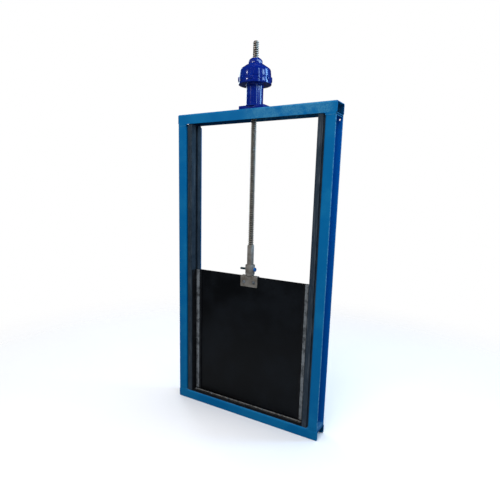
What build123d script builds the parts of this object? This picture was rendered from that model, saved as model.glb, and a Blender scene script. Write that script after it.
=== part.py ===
"""Wall-mounted square sluice gate: welded channel frame, sliding gate plate and rising-stem headstock.

Frame of reference, in millimetres: X across the gate, +Y towards the wall, +Z up.
The origin is the middle of the frame's foot, on the plane of the wall face (the back flanges).
"""

from build123d import *
import os

# ---------------------------------------------------------------- driving dimensions, mm
# Welded frame of press-bent channel
frame_width = 740.0
frame_height = 1356.0
section_depth = 80.0
section_flange = 42.0
section_wall = 5.0
section_bend = 8.0
beam_overhang = 2.0
beam_corner = 5.0
joint_plate_thickness = 9.0
tag_hole_radius = 3.5
tag_hole_from_tip = 12.0
tag_hole_below_plate = 7.0

# Plastic guides and the bars behind them
guide_thickness = 29.0
guide_front_step = 5.0
guide_rebate = 8.0
guide_top_gap = 2.0
rear_bar_thickness = 6.0
groove_width = 16.0
groove_depth = 20.0

# Gate plate
gate_setback = 43.0
opening_height = 600.0
plate_overlap = 13.0
plate_thickness = 10.0
plate_in_groove = 16.0
plate_seat_gap = 0.3

# Seals and their clamping strips
sill_thickness = 5.0
seal_thickness = 4.0
seal_side_leg = 28.0
seal_face_leg = 36.0
seal_gap = 0.5
strip_width = 16.0
strip_thickness = 3.0
strip_edge_inset = 10.0
strip_end_gap = 5.0
bottom_strip_from_plate = 8.0
strip_screw_radius = 4.0
strip_screw_height = 2.5
side_screw_count = 6
side_screw_inset = 10.0
bottom_screw_count = 7
bottom_screw_inset = 7.0

# Stem, its sleeve and the bracket on the gate plate
stem_radius = 12.0
stem_projection = 64.0
stem_tip_chamfer = 4.0
sleeve_radius = 14.5
sleeve_length = 123.0
sleeve_above_plate = 140.0
stem_in_sleeve = 40.0
socket_radius = 21.0
socket_above_plate = 52.0
socket_below_plate = 8.0
bracket_width = 85.0
bracket_height = 50.0
bracket_thickness = 5.0
bracket_rise = 3.0
bracket_bolt_spacing = 50.0
bracket_bolt_height = 25.0
bracket_bolt_radius = 4.0
bracket_head_radius = 6.5
bracket_head_height = 4.5
bracket_nut_flats = 13.0
bracket_nut_height = 6.5
cross_bolt_above_plate = 32.0
cross_bolt_radius = 5.0
cross_bolt_tail = 27.0
cross_bolt_head_flats = 17.0
cross_bolt_head_height = 7.0

# Headstock
base_width = 116.0
base_depth = 60.0
base_thickness = 14.0
tube_radius = 35.0
tube_wall = 4.0
tube_height = 81.5
housing_foot_radius = 67.5
housing_seam_radius = 66.0
housing_shoulder_radius = 63.5
lower_housing_height = 24.5
upper_housing_wall_height = 34.0
shoulder_height = 17.0
shoulder_top_radius = 36.0
housing_edge_round = 7.0
boss_count = 10
boss_radius = 10.5
boss_height = 3.0
boss_below_seam = 5.0
boss_edge_round = 1.5
boss_turn = -6.0
stem_passage_radius = 19.5
nut_floor = 12.0
nut_journal_radius = 22.0
nut_collar_radius = 34.0
nut_collar_height = 16.0
nut_flats = 56.0
nut_cap_height = 26.0
nut_top_radius = 14.0
nut_cap_gap = 0.5

# Clearances
running_gap = 0.05
thread_gap = 0.3
bolt_hole_gap = 0.2
fit_gap = 0.1
cut_margin = 1.0

# ---------------------------------------------------------------- places worked out from them
half_width = frame_width / 2
column_outer = half_width - beam_overhang
column_inner = column_outer - section_flange
guide_inner = column_inner - guide_thickness
plane_y = gate_setback - section_depth
column_foot = section_flange + joint_plate_thickness
column_top = frame_height - section_flange - joint_plate_thickness
beam_web_bottom = frame_height - section_wall
sill_top = section_flange + sill_thickness
plate_bottom = sill_top + plate_seat_gap
plate_top = section_flange + opening_height + plate_overlap
plate_front = plane_y - plate_thickness / 2
plate_back = plane_y + plate_thickness / 2
guide_front = -section_depth + guide_front_step
guide_back = -rear_bar_thickness
guide_top = frame_height - section_flange - guide_top_gap
seal_back = plate_front - seal_gap
seal_front = seal_back - seal_thickness
strip_front = seal_front - strip_thickness
seal_edge = guide_inner - seal_face_leg
strip_outer = guide_inner - strip_edge_inset
strip_inner = strip_outer - strip_width
bottom_strip_back = plate_front - bottom_strip_from_plate
base_top = frame_height + base_thickness
tube_top = base_top + tube_height
seam_height = tube_top + lower_housing_height
shoulder_base = seam_height + upper_housing_wall_height
housing_top = shoulder_base + shoulder_height
nut_cap_base = housing_top + nut_cap_gap
nut_top = nut_cap_base + nut_cap_height
stem_top = nut_top + stem_projection
sleeve_top = plate_top + sleeve_above_plate
cross_bolt_height = plate_top + cross_bolt_above_plate


# ---------------------------------------------------------------- helpers
def block(x0, x1, y0, y1, z0, z1):
    """A box between two corners."""
    centre = ((x0 + x1) / 2, (y0 + y1) / 2, (z0 + z1) / 2)
    return Pos(*centre) * Box(abs(x1 - x0), abs(y1 - y0), abs(z1 - z0))


def rod(radius, z0, z1, x=0.0, y=plane_y):
    """An upright cylinder between two heights."""
    return Pos(x, y, (z0 + z1) / 2) * Cylinder(radius, z1 - z0)


def rod_along_x(radius, x0, x1, y, z):
    return Pos((x0 + x1) / 2, y, z) * Rot(0, 90, 0) * Cylinder(radius, x1 - x0)


def rod_along_y(radius, y0, y1, x, z):
    return Pos(x, (y0 + y1) / 2, z) * Rot(90, 0, 0) * Cylinder(radius, y1 - y0)


def turned(points):
    """A body of revolution about the stem's axis, from (radius, height) points."""
    profile = make_face(Plane.XZ * Polyline(*points, close=True))
    return Pos(0, plane_y, 0) * revolve(profile, Axis.Z)


def left_of(part):
    """The left-hand copy of a right-hand piece."""
    return mirror(part, Plane.YZ)


def spaced(first, last, count):
    """Evenly spaced places from first to last."""
    return [first + (last - first) * i / (count - 1) for i in range(count)]


def save(part, node):
    export_step(Compound(part.solids()) if len(part.solids()) > 1 else part.solids()[0], f"parts/{node}.step")


# ---------------------------------------------------------------- welded frame
def channel(length):
    """Channel standing along +Z: web at X = 0, flanges towards +X, back flange on Y = 0."""
    outline = Pos(section_flange / 2, -section_depth / 2) * Rectangle(section_flange, section_depth)
    hollow = Pos(section_wall + section_flange / 2, -section_depth / 2) * Rectangle(
        section_flange, section_depth - 2 * section_wall
    )
    profile = outline - hollow
    outer = profile.vertices().filter_by(lambda v: abs(v.X) < 0.01)
    profile = fillet(outer, section_bend)
    inner = profile.vertices().filter_by(lambda v: abs(v.X - section_wall) < 0.01)
    profile = fillet(inner, section_bend - section_wall)
    return extrude(profile, length)


def column():
    """Right column: web towards the opening, flanges outwards, a tag hole high in the back flange."""
    length = column_top - column_foot
    post = Pos(column_inner, 0, column_foot) * channel(length)
    hole = rod_along_y(
        tag_hole_radius,
        -section_wall - cut_margin,
        cut_margin,
        column_outer - tag_hole_from_tip,
        column_top - tag_hole_below_plate,
    )
    return post - hole


def beam(top):
    """Cross beam whose web faces up, its ends a little past the columns and its corners eased."""
    bar = Pos(-half_width, 0, top) * Rot(0, 90, 0) * channel(frame_width)
    envelope = Pos(0, 0, top - section_flange / 2) * Rot(90, 0, 0) * extrude(
        RectangleRounded(frame_width, section_flange, beam_corner), section_depth + cut_margin, both=True
    )
    return bar & envelope


def joint_plate(bottom):
    return block(column_inner, column_outer, -section_depth, 0, bottom, bottom + joint_plate_thickness)


def build_frame():
    post = column()
    save(post, "right_column")
    save(left_of(post), "left_column")
    passage = rod(stem_passage_radius, beam_web_bottom - cut_margin, frame_height + cut_margin)
    save(beam(frame_height) - passage, "top_beam")
    save(beam(section_flange), "bottom_beam")
    for name, bottom in (("foot_plate", section_flange), ("cap_plate", column_top)):
        plate = joint_plate(bottom)
        save(plate, f"right_{name}")
        save(left_of(plate), f"left_{name}")


# ---------------------------------------------------------------- guides, seals and strips
def guide():
    """Right guide: a plastic bar on the column's web, grooved for the gate plate and rebated in front."""
    bar = block(guide_inner, column_inner, guide_front, guide_back, section_flange, guide_top)
    groove = block(
        guide_inner - cut_margin,
        guide_inner + groove_depth,
        plane_y - groove_width / 2,
        plane_y + groove_width / 2,
        section_flange - cut_margin,
        frame_height,
    )
    rebate = block(
        column_inner - guide_rebate,
        column_inner + cut_margin,
        guide_front - cut_margin,
        guide_front + guide_rebate,
        section_flange - cut_margin,
        frame_height,
    )
    return bar - groove - rebate


def side_seal():
    """Right seal: an angle of rubber on the guide's inner side, one leg towards the gate plate."""
    side_leg = block(
        guide_inner - seal_thickness, guide_inner, seal_back - seal_side_leg, seal_back, sill_top, plate_top
    )
    face_leg = block(seal_edge, guide_inner, seal_front, seal_back, sill_top, plate_top)
    return side_leg + face_leg


def side_strip():
    bottom = sill_top + strip_thickness + strip_end_gap
    return block(strip_inner, strip_outer, strip_front, seal_front, bottom, plate_top)


def screw_heads():
    """Screw heads on the three strips."""
    heads = []
    side_x = (strip_inner + strip_outer) / 2
    low = sill_top + strip_thickness + strip_end_gap + side_screw_inset
    for z in spaced(low, plate_top - side_screw_inset, side_screw_count):
        for x in (-side_x, side_x):
            heads.append(rod_along_y(strip_screw_radius, strip_front - strip_screw_height, strip_front, x, z))
    bottom_y = bottom_strip_back - strip_width / 2
    strip_top = sill_top + strip_thickness
    reach = strip_outer - bottom_screw_inset
    for x in spaced(-reach, reach, bottom_screw_count):
        heads.append(rod(strip_screw_radius, strip_top, strip_top + strip_screw_height, x, bottom_y))
    return Compound(heads)


def build_sealing():
    for name, piece in (("guide", guide()), ("seal", side_seal()), ("strip", side_strip())):
        save(piece, f"right_{name}")
        save(left_of(piece), f"left_{name}")
    rear_bar = block(guide_inner, column_inner, guide_back, 0, column_foot, column_top)
    save(rear_bar, "right_rear_bar")
    save(left_of(rear_bar), "left_rear_bar")
    save(block(-guide_inner, guide_inner, guide_front, guide_back, section_flange, sill_top), "sill_seal")
    save(
        block(
            -strip_outer,
            strip_outer,
            bottom_strip_back - strip_width,
            bottom_strip_back,
            sill_top,
            sill_top + strip_thickness,
        ),
        "bottom_strip",
    )
    save(screw_heads(), "strip_screws")


# ---------------------------------------------------------------- gate plate and stem
def bracket_bolt_places():
    z = plate_top - bracket_bolt_height
    return [(-bracket_bolt_spacing / 2, z), (bracket_bolt_spacing / 2, z)]


def drilled(part, y0, y1):
    """A plate with the two bracket bolt holes through it."""
    for x, z in bracket_bolt_places():
        part -= rod_along_y(bracket_bolt_radius + bolt_hole_gap, y0 - cut_margin, y1 + cut_margin, x, z)
    return part


def gate_plate():
    reach = guide_inner + plate_in_groove
    plate = block(-reach, reach, plate_front, plate_back, plate_bottom, plate_top)
    return drilled(plate, plate_front, plate_back)


def bracket(y0):
    top = plate_top + bracket_rise
    plate = block(-bracket_width / 2, bracket_width / 2, y0, y0 + bracket_thickness, top - bracket_height, top)
    return drilled(plate, y0, y0 + bracket_thickness)


def stem():
    """The rising screw, drawn at its crest diameter, with a chamfered tip."""
    bar = rod(stem_radius, sleeve_top - stem_in_sleeve, stem_top)
    return chamfer(bar.edges().group_by(Axis.Z)[-1], stem_tip_chamfer)


def sleeve():
    """The smooth lower end of the stem, bored for the screw and cross-drilled for its bolt."""
    body = rod(sleeve_radius, sleeve_top - sleeve_length, sleeve_top)
    body -= rod(stem_radius + fit_gap, sleeve_top - stem_in_sleeve, sleeve_top + cut_margin)
    return body - cross_hole()


def cross_hole():
    reach = socket_radius + cut_margin
    return rod_along_x(cross_bolt_radius + bolt_hole_gap, -reach, reach, plane_y, cross_bolt_height)


def socket():
    """The socket that the sleeve stands in, its round lower end slotted over the brackets."""
    centre = plate_top - socket_below_plate + socket_radius
    body = rod(socket_radius, centre, plate_top + socket_above_plate)
    body += Pos(0, plane_y, centre) * Sphere(socket_radius)
    body -= rod(sleeve_radius + fit_gap, sleeve_top - sleeve_length, plate_top + socket_above_plate + cut_margin)
    slot_half = plate_thickness / 2 + bracket_thickness
    slot_top = plate_top + bracket_rise
    body -= block(
        -socket_radius, socket_radius, plane_y - slot_half, plane_y + slot_half, plate_top - socket_radius, slot_top
    )
    return body - cross_hole()


def bracket_bolts():
    """Round-headed bolts through both brackets and the gate plate."""
    front = plate_front - bracket_thickness
    back = plate_back + bracket_thickness + bracket_nut_height
    bolts = []
    for x, z in bracket_bolt_places():
        head = rod_along_y(bracket_head_radius, front - bracket_head_height, front, x, z)
        head = fillet(head.edges().group_by(Axis.Y)[0], bracket_head_height * 0.8)
        bolts.append(head + rod_along_y(bracket_bolt_radius, front, back + bracket_head_height, x, z))
    return Compound([b.solid() for b in bolts])


def hexagon(flats, height):
    return extrude(RegularPolygon(flats / 2, 6, major_radius=False), height)


def bracket_nuts():
    back = plate_back + bracket_thickness
    nuts = []
    for x, z in bracket_bolt_places():
        nut = Pos(x, back + bracket_nut_height, z) * Rot(90, 0, 0) * hexagon(bracket_nut_flats, bracket_nut_height)
        nut -= rod_along_y(bracket_bolt_radius + fit_gap, back - cut_margin, back + 2 * bracket_nut_height, x, z)
        nuts.append(nut)
    return Compound([n.solid() for n in nuts])


def cross_bolt():
    """Hexagon bolt through the socket, its tail standing out on the left."""
    shank = rod_along_x(
        cross_bolt_radius, -socket_radius - cross_bolt_tail, socket_radius, plane_y, cross_bolt_height
    )
    head = Pos(socket_radius, plane_y, cross_bolt_height) * Rot(0, 90, 0) * hexagon(
        cross_bolt_head_flats, cross_bolt_head_height
    )
    return shank + head


def build_gate():
    save(gate_plate(), "gate_plate")
    save(bracket(plate_front - bracket_thickness), "front_bracket")
    save(bracket(plate_back), "rear_bracket")
    save(stem(), "stem")
    save(sleeve(), "stem_sleeve")
    save(socket(), "stem_socket")
    save(bracket_bolts(), "bracket_bolts")
    save(bracket_nuts(), "bracket_nuts")
    save(cross_bolt(), "cross_bolt")


# ---------------------------------------------------------------- headstock
nut_floor_height = tube_top + nut_floor
collar_bottom = seam_height - nut_collar_height / 2
collar_top = seam_height + nut_collar_height / 2
journal_bore = nut_journal_radius + running_gap
collar_bore = nut_collar_radius + fit_gap
collar_gap = fit_gap


def boss_angles():
    """Angle of each boss round the housing."""
    step = 360 / boss_count
    return [boss_turn + step * i for i in range(boss_count)]


def boss(angle):
    """A round boss standing out of the housing's side across the seam, pointing out at an angle."""
    outer = housing_foot_radius + boss_height
    place = Pos(0, plane_y, seam_height - boss_below_seam) * Rot(0, 0, angle)
    disc = Pos((nut_collar_radius + outer) / 2, 0, 0) * Rot(0, 90, 0) * Cylinder(
        boss_radius, outer - nut_collar_radius
    )
    disc = fillet(disc.edges().group_by(Axis.X)[-1], boss_edge_round)
    return (place * disc - housing_envelope()).solid()


def housing_envelope():
    """The housing's outside below its shoulder, as a solid."""
    return turned(
        [
            (0, tube_top),
            (housing_foot_radius, tube_top),
            (housing_seam_radius, seam_height),
            (housing_shoulder_radius, shoulder_base),
            (0, shoulder_base),
        ]
    )


def lower_housing():
    return turned(
        [
            (stem_passage_radius, tube_top),
            (housing_foot_radius, tube_top),
            (housing_seam_radius, seam_height),
            (collar_bore, seam_height),
            (collar_bore, collar_bottom - collar_gap),
            (journal_bore, collar_bottom - collar_gap),
            (journal_bore, nut_floor_height),
            (stem_passage_radius, nut_floor_height),
        ]
    )


def upper_housing():
    body = turned(
        [
            (collar_bore, seam_height),
            (housing_seam_radius, seam_height),
            (housing_shoulder_radius, shoulder_base),
            (shoulder_top_radius, housing_top),
            (journal_bore, housing_top),
            (journal_bore, collar_top + collar_gap),
            (collar_bore, collar_top + collar_gap),
        ]
    )
    rim = body.edges().filter_by(GeomType.CIRCLE).filter_by(
        lambda e: abs(e.radius - housing_shoulder_radius) < 0.01 and abs(e.center().Z - shoulder_base) < 0.01
    )
    return fillet(rim, housing_edge_round)


def drive_nut():
    """Bronze nut with a collar inside the housing and a domed hexagon on top."""
    bore = stem_radius + thread_gap
    body = turned(
        [
            (bore, nut_floor_height + fit_gap),
            (nut_journal_radius, nut_floor_height + fit_gap),
            (nut_journal_radius, collar_bottom),
            (nut_collar_radius, collar_bottom),
            (nut_collar_radius, collar_top),
            (nut_journal_radius, collar_top),
            (nut_journal_radius, nut_cap_base),
            (bore, nut_cap_base),
        ]
    )
    corner = nut_flats / 3**0.5
    cap = Pos(0, plane_y, nut_cap_base) * hexagon(nut_flats, nut_cap_height)
    dome = turned(
        [
            (0, nut_cap_base),
            (corner + cut_margin, nut_cap_base),
            (corner, nut_cap_base + nut_cap_height * 0.25),
            (corner * 0.86, nut_cap_base + nut_cap_height * 0.6),
            (corner * 0.67, nut_cap_base + nut_cap_height * 0.87),
            (nut_top_radius, nut_top),
            (0, nut_top),
        ]
    )
    cap = (cap & dome) - rod(bore, nut_cap_base - cut_margin, nut_top + cut_margin)
    return body + cap


def build_headstock():
    passage = rod(stem_passage_radius, frame_height - cut_margin, base_top + cut_margin)
    base = block(
        -base_width / 2, base_width / 2, plane_y - base_depth / 2, plane_y + base_depth / 2, frame_height, base_top
    )
    save(base - passage, "headstock_base")
    tube = rod(tube_radius, base_top, tube_top) - rod(
        tube_radius - tube_wall, base_top - cut_margin, tube_top + cut_margin
    )
    save(tube, "headstock_tube")
    save(lower_housing(), "lower_housing")
    save(upper_housing(), "upper_housing")
    save(Compound([boss(angle) for angle in boss_angles()]), "housing_bosses")
    save(drive_nut(), "drive_nut")


os.makedirs("parts", exist_ok=True)
build_frame()
build_sealing()
build_gate()
build_headstock()
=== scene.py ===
"""Wall-mounted sluice gate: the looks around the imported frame, laid out as a Blender add-on.

Every piece is built in metres in the frame's own place: X across the gate, +Y towards the wall, +Z up.
"""

from contextlib import contextmanager
from math import cos, pi, radians, sin

import bmesh
import bpy
from bpy.props import FloatProperty, FloatVectorProperty, IntProperty, PointerProperty
from mathutils import Matrix, Vector


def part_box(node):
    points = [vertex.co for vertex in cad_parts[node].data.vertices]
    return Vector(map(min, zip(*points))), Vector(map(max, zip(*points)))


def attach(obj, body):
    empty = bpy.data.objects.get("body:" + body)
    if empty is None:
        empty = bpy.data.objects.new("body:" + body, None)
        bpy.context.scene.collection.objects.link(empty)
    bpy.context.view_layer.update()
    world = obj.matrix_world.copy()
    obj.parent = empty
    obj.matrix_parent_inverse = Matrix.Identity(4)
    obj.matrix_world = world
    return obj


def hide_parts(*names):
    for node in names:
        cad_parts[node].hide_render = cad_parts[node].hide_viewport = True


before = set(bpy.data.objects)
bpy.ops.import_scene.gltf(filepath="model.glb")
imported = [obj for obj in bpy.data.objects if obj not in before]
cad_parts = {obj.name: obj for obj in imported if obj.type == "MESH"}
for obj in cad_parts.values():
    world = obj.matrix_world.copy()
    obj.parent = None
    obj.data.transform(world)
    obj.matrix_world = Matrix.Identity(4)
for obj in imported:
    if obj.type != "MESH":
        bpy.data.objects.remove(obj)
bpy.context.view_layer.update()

bl_info = {
    "name": "Sluice gate",
    "version": (1, 0, 0),
    "blender": (4, 5, 0),
    "location": "3D View > Sidebar > Sluice gate",
    "description": "Builds the fine pieces, finishes and studio of a wall-mounted sluice gate",
    "category": "Object",
}

MM = 0.001
FINISH = "_finish"
METAL_SHARE = 0.55
NUT_TURN = 30.0
STEM_PASSAGE = 19.5 * MM
BEAD_PACE = 0.62  # a ripple's advance along a weld, as a share of the bead's radius
BEAD_VOXEL = 0.26  # the cell in which a bead's drops melt together, as a share of its radius


# ---------------------------------------------------------------- sizes and colours a user would change
def length(name, description, millimetres):
    return FloatProperty(name=name, description=description, default=millimetres * MM, unit="LENGTH")


def number(name, description, value, least=2):
    return IntProperty(name=name, description=description, default=value, min=least)


def colour(name, description, value):
    return FloatVectorProperty(
        name=name, description=description, default=value, subtype="COLOR", size=3, min=0.0, max=1.0
    )


class GateSizes(bpy.types.PropertyGroup):
    """Sizes of the fine pieces"""

    thread_pitch: length("Thread pitch", "Rise of the stem's thread in one turn", 8)
    thread_depth: length("Thread depth", "Crest to root of the stem's thread", 3.4)
    thread_steps: number("Thread steps", "Facets in one turn of the stem's thread", 36, 12)
    edge_round: length("Edge round", "Rounding of machined edges", 0.8)
    cast_round: length("Cast edge round", "Rounding of the housing's seam edges", 1.2)
    weld_size: length("Weld size", "Radius of the frame's weld beads", 3.2)
    screw_radius: length("Strip screw radius", "Radius of the strips' screw heads", 4)
    side_screws: number("Side screws", "Screws in each side strip", 6)
    bottom_screws: number("Bottom screws", "Screws in the bottom strip", 7)
    bosses: number("Bosses", "Round bosses about the housing's seam", 10, 3)
    boss_turn: FloatProperty(
        name="Boss turn", description="Angle of the first boss", default=radians(-6), subtype="ANGLE"
    )


class GateColours(bpy.types.PropertyGroup):
    """Colours of the finishes"""

    frame_paint: colour("Frame paint", "Paint on the welded frame", (0.0008, 0.108, 0.275))
    frame_faded: colour("Faded frame paint", "Chalked patches of the frame's paint", (0.004, 0.135, 0.30))
    # Painted light: a lighter copy of the frame paint, used inside the columns' hollows.
    column_hollow_painted_light: colour("Column hollow", "Frame paint inside the columns", (0.0006, 0.108, 0.38))
    # Painted shade: a darker copy of the frame paint, used inside the beams' hollows.
    beam_hollow_painted_shade: colour("Beam hollow", "Frame paint inside the beams", (0.0005, 0.055, 0.15))
    chalk: colour("Chalk", "Chalky speckle on the top beam", (0.06, 0.24, 0.36))
    # Partly worn paint, partly painted highlight on the frame's lit edges.
    worn_paint_and_highlight: colour("Worn paint", "Frame paint along worn edges", (0.12, 0.34, 0.47))
    seam: colour("Seam", "Dark line where two of the frame's members meet", (0.0, 0.02, 0.06))
    # Painted shade: the dark middle of the cap plates' ends.
    cap_end_painted_shade: colour("Cap plate edge", "Middle of the cap plates' ends", (0.0, 0.035, 0.075))
    dust: colour("Dust", "Dust on the frame's upward faces", (0.22, 0.30, 0.34))
    headstock_paint: colour("Headstock paint", "Gloss paint on the headstock", (0.0004, 0.011, 0.165))
    headstock_light: colour("Headstock paint, thin", "Headstock paint where it is thin", (0.001, 0.024, 0.23))
    guide: colour("Guide plastic", "Plastic of the guides", (0.014, 0.024, 0.036))
    guide_scuffed: colour("Scuffed guide plastic", "Guides where they are scuffed", (0.075, 0.088, 0.10))
    rubber: colour("Seal rubber", "Rubber of the seals", (0.006, 0.006, 0.007))
    rubber_bloom: colour("Rubber bloom", "Pale bloom on the seals", (0.03, 0.03, 0.032))
    plate: colour("Plate coating", "Coating of the gate plate", (0.0018, 0.0019, 0.0024))
    plate_bloom: colour("Plate bloom", "Faint cloudy bloom on the plate's coating", (0.005, 0.006, 0.008))
    stainless: colour("Stainless steel", "Strips and screws", (0.36, 0.375, 0.385))
    stainless_tint: colour("Stainless tint", "Darker clouds on stainless steel", (0.1, 0.105, 0.11))
    # Painted light: a lighter copy of the strips' stainless steel, for the sill strip's upward face.
    sill_steel_painted_light: colour("Sill strip steel", "Strip along the sill", (0.62, 0.58, 0.53))
    sill_tint_painted_light: colour("Sill strip tint", "Darker clouds on the sill strip", (0.2, 0.19, 0.18))
    # A darker colour across the front half of the sill strip.
    sill_front_dark: colour("Grime", "Dirt along the front of the sill strip", (0.02, 0.018, 0.018))
    warm_steel: colour("Warm steel", "Bracket, socket and sleeve", (0.42, 0.375, 0.325))
    warm_tint: colour("Warm steel tint", "Browner clouds on warm steel", (0.25, 0.205, 0.165))
    thread_steel: colour("Thread steel", "Crests of the stem's thread", (0.60, 0.51, 0.41))
    # Grease and painted shade: the dark colour in the thread's grooves.
    grease_and_shade: colour("Grease", "Grease in the thread's grooves", (0.03, 0.026, 0.02))
    bolt: colour("Bolt", "Dark tail of the cross bolt", (0.012, 0.04, 0.05))
    bolt_worn: colour("Worn bolt", "Worn spots on the bolt's tail", (0.06, 0.12, 0.13))
    bolt_paint: colour("Bolt head paint", "Paint on the cross bolt's head", (0.004, 0.10, 0.36))
    bolt_paint_worn: colour("Worn bolt paint", "Worn spots on the bolt's head", (0.02, 0.2, 0.5))
    floor: colour("Floor", "Studio floor", (0.92, 0.87, 0.845))
    floor_speck: colour("Floor speck", "Faint speckle on the floor", (0.8, 0.8, 0.8))
    floor_unseen: colour("Floor light", "Floor as it lights the gate", (0.22, 0.22, 0.22))


# ---------------------------------------------------------------- modelling helpers
def clear_selection():
    if bpy.context.mode != "OBJECT":
        bpy.ops.object.mode_set(mode="OBJECT")
    bpy.ops.object.select_all(action="DESELECT")


def take(*pieces):
    """Selects only these pieces, the first one active."""
    clear_selection()
    for piece in pieces:
        piece.select_set(True)
    bpy.context.view_layer.objects.active = pieces[0]
    return pieces[0]


def settle(piece):
    """Puts the piece's origin at the world's origin, unturned and unscaled, with its place in its mesh."""
    take(piece)
    bpy.ops.object.transform_apply(location=True, rotation=True, scale=True)
    return piece


def fresh(name, primitive, **settings):
    """Adds a primitive at its size and place as a new piece."""
    clear_selection()
    primitive(**settings)
    piece = bpy.context.object
    piece.name = piece.data.name = name
    return settle(piece)


def block(name, low, high):
    centre = (Vector(low) + Vector(high)) / 2
    size = Vector(high) - Vector(low)
    return fresh(name, bpy.ops.mesh.primitive_cube_add, size=1, location=centre, scale=size)


def rod(name, radius, start, end, sides=48):
    """A cylinder from one point to another."""
    start, end = Vector(start), Vector(end)
    turn = (end - start).to_track_quat("Z", "Y").to_euler()
    shape = {"vertices": sides, "radius": radius, "depth": (end - start).length}
    return fresh(name, bpy.ops.mesh.primitive_cylinder_add, location=(start + end) / 2, rotation=turn, **shape)


@contextmanager
def editing(piece, mode="FACE"):
    """Edit mode on one piece with nothing selected."""
    take(piece)
    bpy.ops.object.mode_set(mode="EDIT")
    bpy.ops.mesh.select_mode(type=mode)
    bpy.ops.mesh.select_all(action="DESELECT")
    yield
    bpy.ops.object.mode_set(mode="OBJECT")


def pick_facing(piece, direction):
    """Selects the faces that look one way."""
    mesh = bmesh.from_edit_mesh(piece.data)
    picked = [face for face in mesh.faces if face.normal.dot(Vector(direction)) > 0.99]
    if not picked:
        raise RuntimeError(f"{piece.name}: no face looks along {direction}")
    for face in picked:
        face.select_set(True)
    bmesh.update_edit_mesh(piece.data)


def finished(piece, kind, **settings):
    """Adds one modifier and applies it."""
    take(piece)
    modifier = piece.modifiers.new(kind, kind)
    for key, value in settings.items():
        setattr(modifier, key, value)
    bpy.ops.object.modifier_apply(modifier=modifier.name)
    return piece


def eased(piece, width, segments=2, angle=40):
    return finished(
        piece, "BEVEL", width=width, segments=segments, limit_method="ANGLE", angle_limit=radians(angle)
    )


def cut(piece, tool, operation="DIFFERENCE"):
    """A boolean with a tool that is then removed."""
    finished(piece, "BOOLEAN", object=tool, operation=operation, solver="EXACT")
    bpy.data.objects.remove(tool)
    return piece


def smooth(piece, angle=32):
    take(piece)
    bpy.ops.object.shade_smooth_by_angle(angle=radians(angle))
    return piece


def outward(piece):
    with editing(piece):
        bpy.ops.mesh.select_all(action="SELECT")
        bpy.ops.mesh.remove_doubles(threshold=1e-6)
        bpy.ops.mesh.normals_make_consistent(inside=False)
    return piece


def drawn_outline(name, points, place):
    """An outline of (across, up) points, drawn point by point from one vertex."""
    clear_selection()
    bpy.ops.mesh.primitive_plane_add(size=MM, location=place)
    piece = bpy.context.object
    piece.name = piece.data.name = name
    bpy.ops.object.mode_set(mode="EDIT")
    bpy.ops.mesh.select_mode(type="VERT")
    bpy.ops.mesh.select_all(action="SELECT")
    bpy.ops.mesh.merge(type="CENTER")
    bpy.ops.transform.translate(value=(points[0][0], 0, points[0][1]))
    for last, point in zip(points, points[1:]):
        step = (point[0] - last[0], 0, point[1] - last[1])
        bpy.ops.mesh.extrude_region_move(TRANSFORM_OT_translate={"value": step})
    bpy.ops.mesh.select_all(action="SELECT")
    bpy.ops.mesh.remove_doubles(threshold=1e-7)
    bpy.ops.object.mode_set(mode="OBJECT")
    return piece


def spun(piece, steps, **settings):
    """Sweeps an outline about its upright axis, once round or up a screw."""
    settings |= {"steps": steps, "render_steps": steps, "use_merge_vertices": True, "merge_threshold": 1e-6}
    finished(piece, "SCREW", axis="Z", angle=2 * pi, **settings)
    return outward(settle(piece))


def turned(name, points, place, steps=72):
    """A closed outline of (radius, height) points spun about an upright axis."""
    return spun(drawn_outline(name, [*points, points[0]], place), steps)


def threaded(name, crest, depth, pitch, length, place, steps):
    """A screw thread standing up from a place, its ends cut flat and closed."""
    flank, flat, ease = 0.14 * pitch, 0.36 * pitch, 0.05 * pitch
    corner = 0.12 * depth
    root = crest - depth
    rise = [(root, 0), (root, flat - ease), (root + corner, flat), (crest - corner, flat + flank)]
    land = [(crest, flat + flank + ease), (crest, pitch - flank - ease)]
    points = [*rise, *land, (crest - corner, pitch - flank), (root + corner, pitch - ease), (root, pitch)]
    turns = int(length / pitch) + 3
    start = Vector(place) - Vector((0, 0, 1.5 * pitch))
    piece = spun(drawn_outline(name, points, start), steps, screw_offset=pitch, iterations=turns)
    for height, side in ((place[2], "clear_inner"), (place[2] + length, "clear_outer")):
        with editing(piece):
            bpy.ops.mesh.select_all(action="SELECT")
            bpy.ops.mesh.bisect(
                plane_co=(place[0], place[1], height), plane_no=(0, 0, 1), use_fill=True, **{side: True}
            )
    return outward(piece)


def laid(piece, degrees, axis, place):
    """Turns a piece about the origin and carries it to its place, in its mesh."""
    piece.matrix_world = Matrix.Translation(place) @ Matrix.Rotation(radians(degrees), 4, axis)
    return settle(piece)


def array(piece, count, step):
    offset = {"use_relative_offset": False, "use_constant_offset": True, "constant_offset_displace": step}
    return finished(piece, "ARRAY", count=count, **offset)


def joined(name, pieces):
    piece = take(*pieces)
    if len(pieces) > 1:
        bpy.ops.object.join()
    piece.name = piece.data.name = name
    return piece


def twin(piece, name, move):
    """A copy with its own mesh, moved."""
    take(piece)
    bpy.ops.object.duplicate(linked=False)
    copy = bpy.context.object
    copy.name = copy.data.name = name
    copy.location = move
    return settle(copy)


def mirrored_twin(piece, name):
    """A copy of a right-hand piece for the left."""
    copy = twin(piece, name, (0, 0, 0))
    copy.scale = (-1, 1, 1)
    settle(copy)
    return outward(copy)


def drop(name, radius, place):
    return fresh(
        name, bpy.ops.mesh.primitive_uv_sphere_add, segments=12, ring_count=8, radius=radius, location=place
    )


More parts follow.
